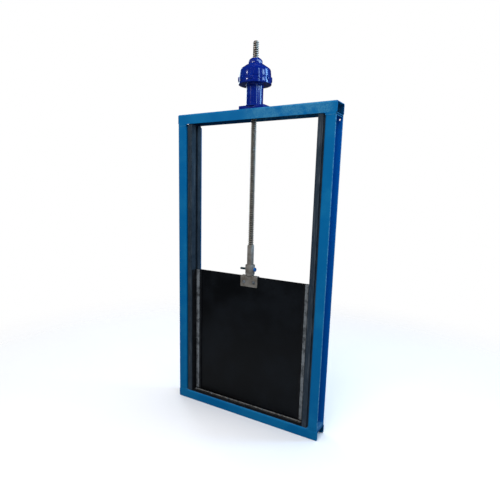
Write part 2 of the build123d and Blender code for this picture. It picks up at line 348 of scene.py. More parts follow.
def bead(name, start, end, radius):
    """A rippled weld bead along a straight line."""
    start, end = Vector(start), Vector(end)
    count = max(2, int((end - start).length / (radius * BEAD_PACE)))
    step = (end - start) / count
    return melted(array(drop(name, radius, start + step / 2), count, step), radius)


def ring_bead(name, centre, ring_radius, radius):
    """A rippled weld bead round a circle."""
    count = int(2 * pi * ring_radius / (radius * BEAD_PACE))
    turns = [2 * pi * i / count for i in range(count)]
    drops = [drop(name, radius, Vector(centre) + Vector((cos(a), sin(a), 0)) * ring_radius) for a in turns]
    return melted(joined(name, drops), radius)


def melted(drops, radius):
    """Runs overlapping drops together into one closed skin."""
    finished(drops, "REMESH", mode="VOXEL", voxel_size=radius * BEAD_VOXEL, use_smooth_shade=True)
    return smooth(drops, 60)


def place_on(piece, body, slot, finish, *nodes):
    """Gives a finished piece its material and its body, and hides the nodes that it stands for. The slot is
    not used.
    """
    dress(finish, piece)
    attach(piece, body)
    if nodes:
        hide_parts(*nodes)


def radius_of(node):
    """Half of a round node's width."""
    low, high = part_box(node)
    return (high.x - low.x) / 2


def stem_axis():
    low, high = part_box("stem")
    return (low.x + high.x) / 2, (low.y + high.y) / 2


# ---------------------------------------------------------------- node helpers
class Net:
    """A node tree, with short calls for the nodes that the finishes use"""

    def __init__(self, tree):
        self.tree = tree

    def feed(self, socket, value):
        """Sets a socket, or links it where the value is another node's output."""
        if isinstance(value, bpy.types.NodeSocket):
            self.tree.links.new(value, socket)
        else:
            socket.default_value = value

    def put(self, kind, options=None, **inputs):
        """Adds a node. Underscores in an input's name stand for spaces, and i0 is the first input."""
        node = self.tree.nodes.new(kind)
        for key, value in (options or {}).items():
            setattr(node, key, value)
        for key, value in inputs.items():
            self.feed(node.inputs[int(key[1:]) if key[1:].isdigit() else key.replace("_", " ")], value)
        return node

    def maths(self, operation, first, *others, clamp=False):
        """A maths node. More than two values make a chain, and only its last node clamps."""
        for i, other in enumerate(others or (0.0,), 1):
            options = {"operation": operation, "use_clamp": clamp and i >= len(others)}
            first = self.put("ShaderNodeMath", options, i0=first, i1=other).outputs[0]
        return first

    def times(self, *values, clamp=False):
        return self.maths("MULTIPLY", *values, clamp=clamp)

    def plus(self, *values):
        return self.maths("ADD", *values)

    def most(self, *values):
        return self.maths("MAXIMUM", *values)

    def apart(self, a, b):
        return self.maths("ABSOLUTE", self.maths("SUBTRACT", a, b))

    def above(self, value, level):
        return self.maths("GREATER_THAN", value, level)

    def below(self, value, level):
        return self.maths("LESS_THAN", value, level)

    def within(self, value, low, high):
        """1 between two levels, 0 outside them."""
        return self.times(self.above(value, low), self.below(value, high))

    def between(self, value, low, high):
        """0 below low, 1 above high, smooth between."""
        options = {"interpolation_type": "SMOOTHSTEP"}
        return self.put("ShaderNodeMapRange", options, Value=value, From_Min=low, From_Max=high).outputs[0]

    def ranged(self, value, first, last, low=0.0, high=1.0):
        """Runs from first to last, in a straight line, while the value goes from low to high."""
        return self.put(
            "ShaderNodeMapRange", Value=value, From_Min=low, From_Max=high, To_Min=first, To_Max=last
        ).outputs[0]

    def mixed(self, factor, a, b):
        return self.put("ShaderNodeMix", {"data_type": "RGBA"}, i0=factor, i6=a, i7=b).outputs[2]

    def noise(self, place, scale, detail=3.0, roughness=0.6):
        return self.put(
            "ShaderNodeTexNoise", Vector=place, Scale=scale, Detail=detail, Roughness=roughness
        ).outputs[0]

    def clouds(self, place, scale, low, high, detail=3.0, roughness=0.6):
        """Noise with its contrast raised."""
        return self.between(self.noise(place, scale, detail, roughness), low, high)

    def stretched(self, place, scale):
        return self.put("ShaderNodeMapping", Vector=place, Scale=scale).outputs[0]

    def split(self, vector):
        return self.put("ShaderNodeSeparateXYZ", Vector=vector).outputs

    def use(self, group, **inputs):
        return self.put("ShaderNodeGroup", {"node_tree": bpy.data.node_groups[group]}, **inputs).outputs


def rgba(value):
    return (*value, 1.0)


def new_group(name, inputs, outputs):
    """Makes a node group: its net, inputs and outputs. A default's length gives the socket's kind."""
    group = bpy.data.node_groups.new(name, "ShaderNodeTree")
    kinds = {1: "Float", 3: "Vector", 4: "Color"}
    for socket, default in inputs.items():
        kind = kinds[len(default) if isinstance(default, tuple) else 1]
        item = group.interface.new_socket(socket, in_out="INPUT", socket_type=f"NodeSocket{kind}")
        item.default_value = default
    for socket in outputs:
        kind = "Color" if socket == "Color" else "Float"
        group.interface.new_socket(socket, in_out="OUTPUT", socket_type=f"NodeSocket{kind}")
    net = Net(group)
    return net, net.put("NodeGroupInput").outputs, net.put("NodeGroupOutput").inputs


def build_patchy():
    """Paint or coating that varies: broad patches, fine speckle and a matching roughness."""
    net, given, result = new_group(
        "patchy_coat",
        {
            "Place": (0, 0, 0),
            "Coat": (0.5, 0.5, 0.5, 1),
            "Faded": (0.8, 0.8, 0.8, 1),
            "Patch Scale": 9.0,
            "Speckle Scale": 260.0,
            "Amount": 0.5,
            "Gloss Low": 0.3,
            "Gloss High": 0.5,
        },
        ("Color", "Roughness", "Height"),
    )
    place = given["Place"]
    broad = net.clouds(place, given["Patch Scale"], 0.42, 0.66, 4)
    fine = net.clouds(place, given["Speckle Scale"], 0.42, 0.66, 2, 0.5)
    speckled = net.times(broad, net.plus(net.times(fine, 0.65), 0.5))
    patches = net.times(net.plus(net.times(broad, 0.45), speckled), given["Amount"], clamp=True)
    peel = net.noise(place, 420.0, 2, 0.5)
    net.feed(result["Color"], net.mixed(patches, given["Coat"], given["Faded"]))
    net.feed(result["Roughness"], net.ranged(patches, given["Gloss Low"], given["Gloss High"]))
    net.feed(result["Height"], net.plus(net.times(peel, 0.5), net.times(broad, 0.3)))


def build_brushed():
    """Brushed or drawn metal: fine lines along one direction, set by the stretch of the pattern."""
    net, given, result = new_group(
        "brushed_metal",
        {
            "Place": (0, 0, 0),
            "Stretch": (900, 900, 12),
            "Metal": (0.5, 0.5, 0.5, 1),
            "Tint": (0.4, 0.35, 0.3, 1),
            "Tint Scale": 30.0,
            "Gloss Low": 0.25,
            "Gloss High": 0.45,
        },
        ("Color", "Roughness", "Height"),
    )
    lines = net.noise(net.stretched(given["Place"], given["Stretch"]), 1.0)
    cloud = net.clouds(given["Place"], given["Tint Scale"], 0.4, 0.7)
    tinted = net.mixed(cloud, given["Metal"], given["Tint"])
    shade = net.ranged(lines, 0.78, 1.0, 0.3, 0.7)
    dark = net.put("ShaderNodeVectorMath", {"operation": "SCALE"}, i0=tinted, Scale=shade).outputs[0]
    net.feed(result["Color"], dark)
    net.feed(result["Roughness"], net.ranged(lines, given["Gloss Low"], given["Gloss High"], 0.3, 0.7))
    net.feed(result["Height"], lines)


def build_scuffs():
    """Rubbed streaks that follow the stretch of the pattern, broken up by patches."""
    net, given, result = new_group(
        "rubbed_streaks",
        {"Place": (0, 0, 0), "Stretch": (300, 300, 8), "Patch Scale": 18.0, "Amount": 0.7},
        ("Mask",),
    )
    lines = net.clouds(net.stretched(given["Place"], given["Stretch"]), 1.0, 0.42, 0.72, 4, 0.65)
    patch = net.clouds(given["Place"], given["Patch Scale"], 0.35, 0.65)
    net.feed(result["Mask"], net.times(lines, patch, given["Amount"], clamp=True))


def build_dust():
    """Dust that lies on faces that look up."""
    net, given, result = new_group(
        "settled_dust", {"Place": (0, 0, 0), "Facing": (0, 0, 0), "Amount": 0.3}, ("Mask",)
    )
    lying = net.between(net.split(given["Facing"])["Z"], 0.6, 0.98)
    cloud = net.clouds(given["Place"], 26.0, 0.35, 0.7, 4, 0.65)
    net.feed(result["Mask"], net.times(lying, cloud, given["Amount"], clamp=True))


def build_band():
    """A band of wear and painted highlight where a coordinate comes near a set place, as along an edge."""
    net, given, result = new_group(
        "wear_and_highlight_band",
        {"Place": (0, 0, 0), "Coordinate": 0.0, "At": 0.0, "Width": 0.002, "Amount": 0.7},
        ("Mask",),
    )
    share = net.maths("DIVIDE", net.apart(given["Coordinate"], given["At"]), given["Width"])
    near = net.maths("SUBTRACT", 1.0, share, clamp=True)
    broken = net.clouds(given["Place"], 140.0, 0.38, 0.62, 4, 0.7)
    net.feed(result["Mask"], net.times(near, broken, given["Amount"], clamp=True))


def new_material(name, metallic=0.0, coat=0.0, coat_roughness=0.1, specular=0.5):
    """A material as its net, its shader's inputs and the place on the object."""
    material = bpy.data.materials.new(name + FINISH)
    material.use_nodes = True
    net = Net(material.node_tree)
    shader = net.tree.nodes["Principled BSDF"].inputs
    shader["Metallic"].default_value = metallic
    shader["Coat Weight"].default_value = coat
    shader["Coat Roughness"].default_value = coat_roughness
    shader["Specular IOR Level"].default_value = specular
    return net, shader, net.put("ShaderNodeTexCoord").outputs["Object"]


def surface(net, shader, tone, roughness, height, strength, distance=0.4 * MM):
    """Feeds a Principled shader."""
    net.feed(shader["Base Color"], tone)
    net.feed(shader["Roughness"], roughness)
    bump = net.put("ShaderNodeBump", Height=height, Strength=strength, Distance=distance)
    net.feed(shader["Normal"], bump.outputs[0])


def coated(net, place, tones, patch_scale, speckle_scale, amount, gloss):
    """The colour, roughness and height of a patchy coat in two tones."""
    return net.use(
        "patchy_coat",
        Place=place,
        Coat=rgba(tones[0]),
        Faded=rgba(tones[1]),
        Patch_Scale=patch_scale,
        Speckle_Scale=speckle_scale,
        Amount=amount,
        Gloss_Low=gloss[0],
        Gloss_High=gloss[1],
    )


def dress(finish, piece):
    """Gives a piece one finish and no other material."""
    piece.data.materials.clear()
    piece.data.materials.append(bpy.data.materials[finish + FINISH])


class GATE_OT_finishes(bpy.types.Operator):
    """Makes the procedural finishes and puts them on the frame's own nodes"""

    bl_idname = "gate.finishes"
    bl_label = "Finishes"

    def execute(self, context):
        for build in (build_patchy, build_brushed, build_scuffs, build_dust, build_band):
            build()
        for finish in (
            frame_paint_finish,
            headstock_finish,
            guide_finish,
            rubber_finish,
            plate_finish,
            metal_finishes,
            thread_finish,
            bolt_finish,
        ):
            finish(context.scene.gate_colours)
        members = ("column", "foot_plate", "cap_plate", "rear_bar")
        sides = [f"{side}_{member}" for side in ("left", "right") for member in members]
        kept = {
            "frame_paint": [*sides, "top_beam", "bottom_beam"],
            "guide_plastic": ["left_guide", "right_guide"],
            "seal_rubber": ["left_seal", "right_seal", "sill_seal"],
            "plate_coating": ["gate_plate"],
        }
        for finish, nodes in kept.items():
            for name in nodes:
                dress(finish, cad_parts[name])
        return {"FINISHED"}


def frame_paint_finish(tones):
    """Frame paint: painted light inside the columns' hollows and painted shade inside the beams' hollows,
    chalked on the top beam's right half, worn along its edges with painted edge highlights, and with painted
    shade on the middles of the cap plates' ends.
    """
    net, shader, place = new_material("frame_paint", specular=0.1)
    x, y, z = net.split(place)
    coat = coated(net, place, (tones.frame_paint, tones.frame_faded), 7.0, 210.0, 0.75, (0.34, 0.52))
    across = net.maths("ABSOLUTE", x)
    column_low, column_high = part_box("right_column")
    cap_low, cap_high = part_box("right_cap_plate")
    foot_low, foot_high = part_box("right_foot_plate")

    web = 5.5 * MM
    half_depth = (column_high.y - column_low.y) / 2
    hollow = net.below(net.apart(y, column_low.y + half_depth), half_depth - 4.5 * MM)
    beyond_web = net.above(across, column_low.x + MM)
    in_column = net.times(hollow, net.within(z, foot_high.z, cap_low.z), beyond_web)
    in_top_beam = net.within(z, cap_high.z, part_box("top_beam")[1].z - web)
    in_beam = net.times(hollow, net.most(in_top_beam, net.within(z, web, foot_low.z)))
    # Painted light inside the columns' hollows, painted shade inside the beams' hollows.
    tone = net.mixed(in_column, coat["Color"], rgba(tones.column_hollow_painted_light))
    tone = net.mixed(in_beam, tone, rgba(tones.beam_hollow_painted_shade))

    speckle = net.times(net.clouds(place, 300.0, 0.38, 0.62), net.clouds(place, 24.0, 0.3, 0.6), 0.85)
    right_half = net.times(net.between(x, -0.05, 0.04), net.between(x, 0.37, 0.33))
    tone = net.mixed(net.times(speckle, right_half, net.above(z, cap_high.z)), tone, rgba(tones.chalk))

    def band(coordinate, at, width, amount):
        return net.use("wear_and_highlight_band", Place=place, Coordinate=coordinate, At=at, Width=width, Amount=amount)[0]

    def edges(amount, *levels):
        """Broken lines at these heights."""
        return net.most(*[band(z, level, 1.4 * MM, amount) for level in levels])

    # Worn paint with painted edge highlights: the columns' flange tips, the edges of the cap and foot plates,
    # and a line on the front just above the cap plates' undersides.
    tips = net.times(
        band(across, column_high.x, 2.2 * MM, 0.8), net.within(z, foot_high.z + MM, cap_low.z - MM)
    )
    outer = net.above(across, column_high.x - MM)
    front = net.below(y, column_low.y + 0.6 * MM)
    lips = net.times(outer, net.most(edges(0.9, cap_low.z, cap_high.z), edges(0.6, foot_low.z, foot_high.z)))
    line = net.times(front, edges(0.55, cap_low.z + 1.5 * MM))
    tone = net.mixed(net.most(tips, lips, line), tone, rgba(tones.worn_paint_and_highlight))
    seams = net.times(front, edges(0.75, cap_low.z - 0.6 * MM, foot_high.z + 0.6 * MM))
    tone = net.mixed(seams, tone, rgba(tones.seam))
    # Painted shade on the middle of each cap plate's end, between its edge highlights.
    shaded_core = net.times(outer, net.below(net.apart(z, (cap_low.z + cap_high.z) / 2), 2.7 * MM))
    tone = net.mixed(shaded_core, tone, rgba(tones.cap_end_painted_shade))
    facing = net.put("ShaderNodeTexCoord").outputs["Normal"]
    dust = net.use("settled_dust", Place=place, Facing=facing, Amount=0.3)
    tone = net.mixed(dust[0], tone, rgba(tones.dust))
    surface(net, shader, tone, coat["Roughness"], coat["Height"], 0.25)


def headstock_finish(tones):
    net, shader, place = new_material("headstock_paint", coat=0.7, coat_roughness=0.08, specular=0.3)
    pair = (tones.headstock_paint, tones.headstock_light)
    coat = coated(net, place, pair, 26.0, 330.0, 0.55, (0.2, 0.34))
    height = net.plus(coat["Height"], net.times(net.noise(place, 120.0), 0.8))
    surface(net, shader, coat["Color"], coat["Roughness"], height, 0.22, 0.6 * MM)


def guide_finish(tones):
    net, shader, place = new_material("guide_plastic", specular=0.4)
    streaks, fine = (
        net.use("rubbed_streaks", Place=place, Stretch=stretch, Patch_Scale=scale, Amount=amount)[0]
        for stretch, scale, amount in (((210, 210, 9), 11.0, 0.85), ((900, 900, 30), 40.0, 0.5))
    )
    rubbed = net.most(streaks, fine)
    tone = net.mixed(rubbed, rgba(tones.guide), rgba(tones.guide_scuffed))
    surface(net, shader, tone, net.ranged(rubbed, 0.42, 0.62), rubbed, 0.25, 0.3 * MM)


def rubber_finish(tones):
    net, shader, place = new_material("seal_rubber", specular=0.3)
    bloom = net.times(net.clouds(place, 30.0, 0.45, 0.75), 0.35)
    tone = net.mixed(bloom, rgba(tones.rubber), rgba(tones.rubber_bloom))
    surface(net, shader, tone, 0.72, net.noise(place, 900.0), 0.3, 0.3 * MM)


def plate_finish(tones):
    net, shader, place = new_material("plate_coating", specular=0.3)
    coat = coated(net, place, (tones.plate, tones.plate_bloom), 4.5, 120.0, 0.8, (0.3, 0.46))
    surface(net, shader, coat["Color"], coat["Roughness"], coat["Height"], 0.12)


def metal_finishes(tones):
    """Brushed metals. The sill strip has a lighter copy of the stainless, painted light on its upward face,
    and is darker across its front half.
    """
    for name, metal, tint, stretch, gloss in (
        ("stainless", tones.stainless, tones.stainless_tint, (700, 700, 10), (0.3, 0.46)),
        # The sill strip's steel is a lighter copy of the stainless: painted light on its upward face.
        ("stainless_across_painted_light", tones.sill_steel_painted_light, tones.sill_tint_painted_light, (10, 700, 700), (0.3, 0.46)),
        ("warm_steel", tones.warm_steel, tones.warm_tint, (420, 420, 26), (0.28, 0.42)),
    ):
        net, shader, place = new_material(name, metallic=METAL_SHARE)
        brushed = net.use(
            "brushed_metal",
            Place=place,
            Stretch=stretch,
            Metal=rgba(metal),
            Tint=rgba(tint),
            Tint_Scale=38.0,
            Gloss_Low=gloss[0],
            Gloss_High=gloss[1],
        )
        tone = brushed["Color"]
        if name == "stainless_across_painted_light":
            # The sill strip is darker across its front half.
            low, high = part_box("bottom_strip")
            middle = (low.y + high.y) / 2
            front_half = net.between(net.split(place)["Y"], middle + MM, middle - MM)
            tone = net.mixed(net.times(front_half, 0.9), tone, rgba(tones.sill_front_dark))
        surface(net, shader, tone, brushed["Roughness"], brushed["Height"], 0.1, 0.2 * MM)


def thread_finish(tones):
    """Steel crests with grease and painted shade in the grooves, told apart by the distance from the stem's
    axis.
    """
    net, shader, place = new_material("thread_steel")
    x, y, _ = net.split(place)
    axis_x, axis_y = stem_axis()
    dx, dy = net.maths("SUBTRACT", x, axis_x), net.maths("SUBTRACT", y, axis_y)
    out = net.maths("SQRT", net.plus(net.times(dx, dx), net.times(dy, dy)))
    crest = radius_of("stem")
    crest_share = net.between(out, crest - 1.8 * MM, crest - 0.5 * MM)
    smear = net.clouds(place, 60.0, 0.3, 0.62, 4, 0.65)
    crest_share = net.times(crest_share, net.plus(net.times(smear, 0.45), 0.55), clamp=True)
    net.feed(shader["Metallic"], net.times(crest_share, 0.75))
    tone = net.mixed(crest_share, rgba(tones.grease_and_shade), rgba(tones.thread_steel))
    surface(net, shader, tone, net.ranged(crest_share, 0.5, 0.24), net.noise(place, 700.0), 0.12, 0.2 * MM)


def bolt_finish(tones):
    """A dark oxide tail and a painted head, divided across the bolt."""
    net, shader, place = new_material("bolt_steel", metallic=0.3, coat=0.3)
    head = net.between(net.split(place)["X"], 4 * MM, 12 * MM)
    worn = net.clouds(place, 300.0, 0.45, 0.7, 4)
    share = net.times(worn, 0.5)
    tail_tone = net.mixed(share, rgba(tones.bolt), rgba(tones.bolt_worn))
    head_tone = net.mixed(share, rgba(tones.bolt_paint), rgba(tones.bolt_paint_worn))
    surface(net, shader, net.mixed(head, tail_tone, head_tone), 0.34, worn, 0.15, 0.2 * MM)


# ---------------------------------------------------------------- gate plate, bracket and stem
class GATE_OT_stem(bpy.types.Operator):
    """Cuts the rising screw thread, with a chamfered tip"""

    bl_idname = "gate.stem"
    bl_label = "Stem"

    def execute(self, context):
        sizes = context.scene.gate_sizes
        low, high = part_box("stem")
        x, y = stem_axis()
        crest = radius_of("stem")
        depth, pitch, steps = sizes.thread_depth, sizes.thread_pitch, sizes.thread_steps
        stem = threaded("stem_thread", crest, depth, pitch, high.z - low.z, (x, y, low.z), steps)
        tip, chamfer, spare = 5 * MM, 4.2 * MM, 2 * MM
        foot, end, wide = low.z - spare, high.z + 0.1 * MM, crest + spare
        outline = [(0, foot), (wide, foot), (wide, high.z - tip - spare), (crest - chamfer, end), (0, end)]
        cut(stem, turned("stem_tip_tool", outline, (x, y, 0), 48), "INTERSECT")
        smooth(stem, 30)
        place_on(stem, "gate", "stainless", "thread_steel", "stem")
        return {"FINISHED"}


class GATE_OT_sleeve(bpy.types.Operator):
    """Turns the stem's smooth sleeve and the round-bottomed socket that it stands in"""

    bl_idname = "gate.sleeve"
    bl_label = "Sleeve and socket"

    def execute(self, context):
        sizes = context.scene.gate_sizes
        x, y = stem_axis()
        low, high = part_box("stem_sleeve")
        radius = radius_of("stem_sleeve")
        clearance = 0.1 * MM
        bore = radius_of("stem") + clearance
        lip = 3 * MM
        bore_floor = high.z - 12 * MM
        outside = [(0, low.z), (radius, low.z), (radius, high.z - lip), (radius - 1.4 * MM, high.z)]
        outline = [*outside, (bore, high.z), (bore, bore_floor), (0, bore_floor)]
        sleeve = turned("stem_sleeve_turned", outline, (x, y, 0), 56)
        eased(sleeve, sizes.edge_round * 0.5)
        smooth(sleeve)
        place_on(sleeve, "gate", "stainless", "warm_steel", "stem_sleeve")

        low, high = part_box("stem_socket")
        outer = radius_of("stem_socket")
        centre = low.z + outer
        inner = radius + clearance
        steps = 14
        angles = [pi / 2 * (i / steps - 1) for i in range(1, steps + 1)]
        rise = [(outer * cos(a), centre + outer * sin(a)) for a in angles]
        outline = [(0, low.z), *rise, (outer, high.z), (inner, high.z), (inner, centre), (0, centre)]
        socket = turned("stem_socket_turned", outline, (x, y, 0), 64)
        plates_low, plates_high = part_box("front_bracket")[0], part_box("rear_bracket")[1]
        slot_low, slot_high = (plates_low.y, low.z - outer), (plates_high.y, plates_high.z)
        slot = block("socket_slot_tool", (x - 2 * outer, *slot_low), (x + 2 * outer, *slot_high))
        cut(socket, slot)
        eased(socket, sizes.edge_round)
        smooth(socket)
        place_on(socket, "gate", "stainless", "warm_steel", "stem_socket")

        reach = Vector((13 * MM, 0, 0))
        middles = [Vector((x, side, plates_high.z)) for side in (plates_low.y, plates_high.y)]
        weld = joined("socket_welds", [bead("socket_weld", m - reach, m + reach, 2 * MM) for m in middles])
        place_on(weld, "gate", "stainless", "warm_steel")
        return {"FINISHED"}


class GATE_OT_bracket(bpy.types.Operator):
    """Shapes the bracket's two plates, its bolts, washers and nuts"""

    bl_idname = "gate.bracket"
    bl_label = "Bracket"

    def execute(self, context):
        sizes = context.scene.gate_sizes
        for node in ("front_bracket", "rear_bracket"):
            low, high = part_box(node)
            plate = block(f"{node}_plate", low, high)
            with editing(plate, "EDGE"):
                mesh = bmesh.from_edit_mesh(plate.data)
                for edge in mesh.edges:
                    run = edge.verts[1].co - edge.verts[0].co
                    edge.select_set(abs(run.y) > 0.9 * run.length)
                bmesh.update_edit_mesh(plate.data)
                bpy.ops.mesh.bevel(offset=2.5 * MM, segments=4)
            eased(plate, sizes.edge_round * 0.7)
            smooth(plate)
            place_on(plate, "gate", "stainless", "warm_steel", node)
        self.bolts()
        return {"FINISHED"}

    def bolts(self):
        low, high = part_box("bracket_bolts")
        nut_low, nut_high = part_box("bracket_nuts")
        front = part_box("front_bracket")[0].y
        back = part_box("rear_bracket")[1].y
        head = (high.z - low.z) / 2
        left, middle = low.x + head, (low.z + high.z) / 2
        top, recess = low.y - front, -2.2 * MM
        dome = [(head * cos(a), top * sin(a)) for a in [radians(15 * i) for i in range(1, 6)]]
        outline = [(0, 0), (head * 0.98, 0), *dome, (2.6 * MM, top), (2.3 * MM, recess), (0, recess)]
        bolt = turned("bracket_bolt", outline, (0, 0, 0), 36)
        laid(bolt, -90, "X", (left, front, middle))
        washer = rod("bracket_washer", head * 1.24, (left, front, middle), (left, front - MM, middle), 40)
        eased(washer, 0.25 * MM)
        shank = threaded("bracket_shank", 4 * MM, 0.65 * MM, 1.5 * MM, high.y - back, (0, 0, 0), 20)
        laid(shank, -90, "X", (left, back, middle))
        nut = hex_nut("bracket_nut", (nut_high.z - nut_low.z) / 2, nut_high.y - nut_low.y)
        laid(nut, -90, "X", (left, nut_low.y, middle))
        first = smooth(joined("bracket_bolt_left", [bolt, washer, shank, nut]))
        second = twin(first, "bracket_bolt_right", (high.x - low.x - 2 * head, 0, 0))
        place_on(first, "gate", "stainless", "stainless", "bracket_bolts", "bracket_nuts")
        place_on(second, "gate", "stainless", "stainless", "bracket_bolts", "bracket_nuts")


def hex_nut(name, flats_half, height, chamfer_share=0.18):
    """A hexagon with both faces chamfered round, standing up from the origin."""
    corner = flats_half / cos(pi / 6)
    body = rod(name, corner, (0, 0, 0), (0, 0, height), 6)
    rim = flats_half * 0.97
    drop = height * chamfer_share
    wide = corner * 1.01
    lower = [(0, -MM), (rim, -MM), (rim, 0), (wide, drop)]
    upper = [(wide, height - drop), (rim, height), (rim, height + MM), (0, height + MM)]
    return cut(body, turned(name + "_tool", lower + upper, (0, 0, 0), 48), "INTERSECT")


class GATE_OT_cross_bolt(bpy.types.Operator):
    """Makes the bolt through the socket: a threaded tail and a chamfered hexagon head"""

    bl_idname = "gate.cross_bolt"
    bl_label = "Cross bolt"

    def execute(self, context):
        low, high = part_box("cross_bolt")
        socket_low, socket_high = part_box("stem_socket")
        y, z = (low.y + high.y) / 2, (low.z + high.z) / 2
        radius = 5 * MM
        reach = socket_low.x - low.x + radius
        tail = threaded("cross_bolt_tail", radius, 0.9 * MM, 1.75 * MM, reach, (0, 0, 0), 24)
        laid(tail, 90, "Y", (low.x, y, z))
        shank = rod("cross_bolt_shank", radius, (socket_low.x + radius / 2, y, z), (socket_high.x, y, z), 32)
        head = hex_nut("cross_bolt_head", (high.y - low.y) / 2 * 0.995, high.x - socket_high.x, 0.22)
        with editing(head):
            pick_facing(head, (0, 0, 1))
            bpy.ops.mesh.inset(thickness=1.6 * MM)
            bpy.ops.transform.translate(value=(0, 0, -0.5 * MM))
        laid(head, 90, "Y", (socket_high.x, y, z))
        bolt = smooth(joined("cross_bolt_turned", [tail, shank, head]))
        place_on(bolt, "gate", "bolt_steel", "bolt_steel", "cross_bolt")
        return {"FINISHED"}


# ---------------------------------------------------------------- strips and their screws
class GATE_OT_strips(bpy.types.Operator):
    """Makes the seals' clamping strips and their socket-head screws"""

    bl_idname = "gate.strips"
    bl_label = "Strips and screws"

    def execute(self, context):
        sizes = context.scene.gate_sizes
        for side, finish in (("left", "stainless"), ("right", "stainless"), ("bottom", "stainless_across_painted_light")):
            node = f"{side}_strip"
            strip = block(f"{node}_bar", *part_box(node))
            eased(strip, 0.5 * MM)
            smooth(strip)
            place_on(strip, "frame", "stainless", finish, node)
        self.screws(sizes)
        return {"FINISHED"}

    def screws(self, sizes):
        low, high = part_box("strip_screws")
        left_low, left_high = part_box("left_strip")
        bottom_low, bottom_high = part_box("bottom_strip")
        radius = sizes.screw_radius
        proud = 2.5 * MM
        screw = self.one_screw(radius, proud)
        x = (left_low.x + left_high.x) / 2
        first = low.z + radius if low.z > bottom_high.z + 5 * MM else left_low.z + 10 * MM
        last = high.z - radius
        side = twin(screw, "left_screws", (0, 0, 0))
        laid(side, 90, "X", (x, left_low.y, first))
        array(side, sizes.side_screws, (0, 0, (last - first) / (sizes.side_screws - 1)))
        other = twin(side, "right_screws", (-2 * x, 0, 0))
        reach = min((high.x - low.x) / 2 - radius, -left_low.x - 7 * MM)
        screw.location = (-reach, (bottom_low.y + bottom_high.y) / 2, bottom_high.z)
        settle(screw)
        array(screw, sizes.bottom_screws, (2 * reach / (sizes.bottom_screws - 1), 0, 0))
        screws = smooth(joined("strip_screw_heads", [screw, side, other]), 40)
        place_on(screws, "frame", "stainless", "stainless", "strip_screws")

    def one_screw(self, radius, proud):
        """A pan head with a hexagon socket, standing up from the origin."""
        head = rod("strip_screw", radius, (0, 0, 0), (0, 0, proud), 24)
        with editing(head):
            pick_facing(head, (0, 0, 1))
            bpy.ops.mesh.bevel(offset=0.9 * MM, segments=3)
        tool = rod("strip_screw_tool", radius * 0.46, (0, 0, proud - 1.3 * MM), (0, 0, proud + MM), 6)
        return cut(head, tool)


# ---------------------------------------------------------------- headstock
class GATE_OT_housing(bpy.types.Operator):
    """Casts the two halves of the housing and the round bosses about their seam"""

    bl_idname = "gate.housing"
    bl_label = "Housing"

    def execute(self, context):
        sizes = context.scene.gate_sizes
        x, y = stem_axis()
        low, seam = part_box("lower_housing")
        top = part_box("upper_housing")[1].z
        foot, seam_radius = radius_of("lower_housing"), radius_of("upper_housing")
        bore = 20 * MM
        inside = seam_radius - 9 * MM
        floor = low.z + 6 * MM
        lip = seam.z - 0.35 * MM
        outside = [(bore, low.z), (foot, low.z), (seam_radius, lip)]
        outline = [*outside, (inside, lip), (inside, floor), (bore, floor)]
        lower = turned("lower_housing_casting", outline, (x, y, 0), 96)
        eased(lower, sizes.cast_round, 3)
        smooth(lower)
        place_on(lower, "frame", "headstock_paint", "headstock_paint", "lower_housing")

        shoulder = 63.5 * MM
        shoulder_height = top - 17 * MM
        neck, throat = 36 * MM, 23 * MM
        rounding = ((0, -7), (0.6, -4), (2.2, -1.2), (4.6, 1.4), (8, 3.9))
        curve = [(shoulder - inward * MM, shoulder_height + up * MM) for inward, up in rounding]
        roof = 8 * MM
        outside = [(inside, seam.z), (seam_radius, seam.z), *curve, (neck, top), (throat, top)]
        outline = [*outside, (throat, top - roof), (inside, shoulder_height - roof)]
        upper = turned("upper_housing_casting", outline, (x, y, 0), 96)
        eased(upper, sizes.cast_round * 0.8, 3, 30)
        smooth(upper, 40)
        place_on(upper, "frame", "headstock_paint", "headstock_paint", "upper_housing")
        self.bosses(sizes, Vector((x, y, seam.z - 5 * MM)), foot + 2.2 * MM)
        return {"FINISHED"}

    def bosses(self, sizes, middle, reach):
        radius = 10.5 * MM
        start, end = reach - 14 * MM, reach * 0.9985
        bosses = []
        for i in range(sizes.bosses):
            angle = sizes.boss_turn + 2 * pi * i / sizes.bosses
            out = Vector((cos(angle), sin(angle), 0))
            boss = rod(f"boss_{i}", radius, middle + out * start, middle + out * end, 32)
            with editing(boss):
                pick_facing(boss, out)
                bpy.ops.mesh.bevel(offset=1.8 * MM, segments=4)
            bosses.append(boss)
        bosses = smooth(joined("seam_bosses", bosses), 50)
        place_on(bosses, "frame", "headstock_paint", "headstock_paint", "housing_bosses")


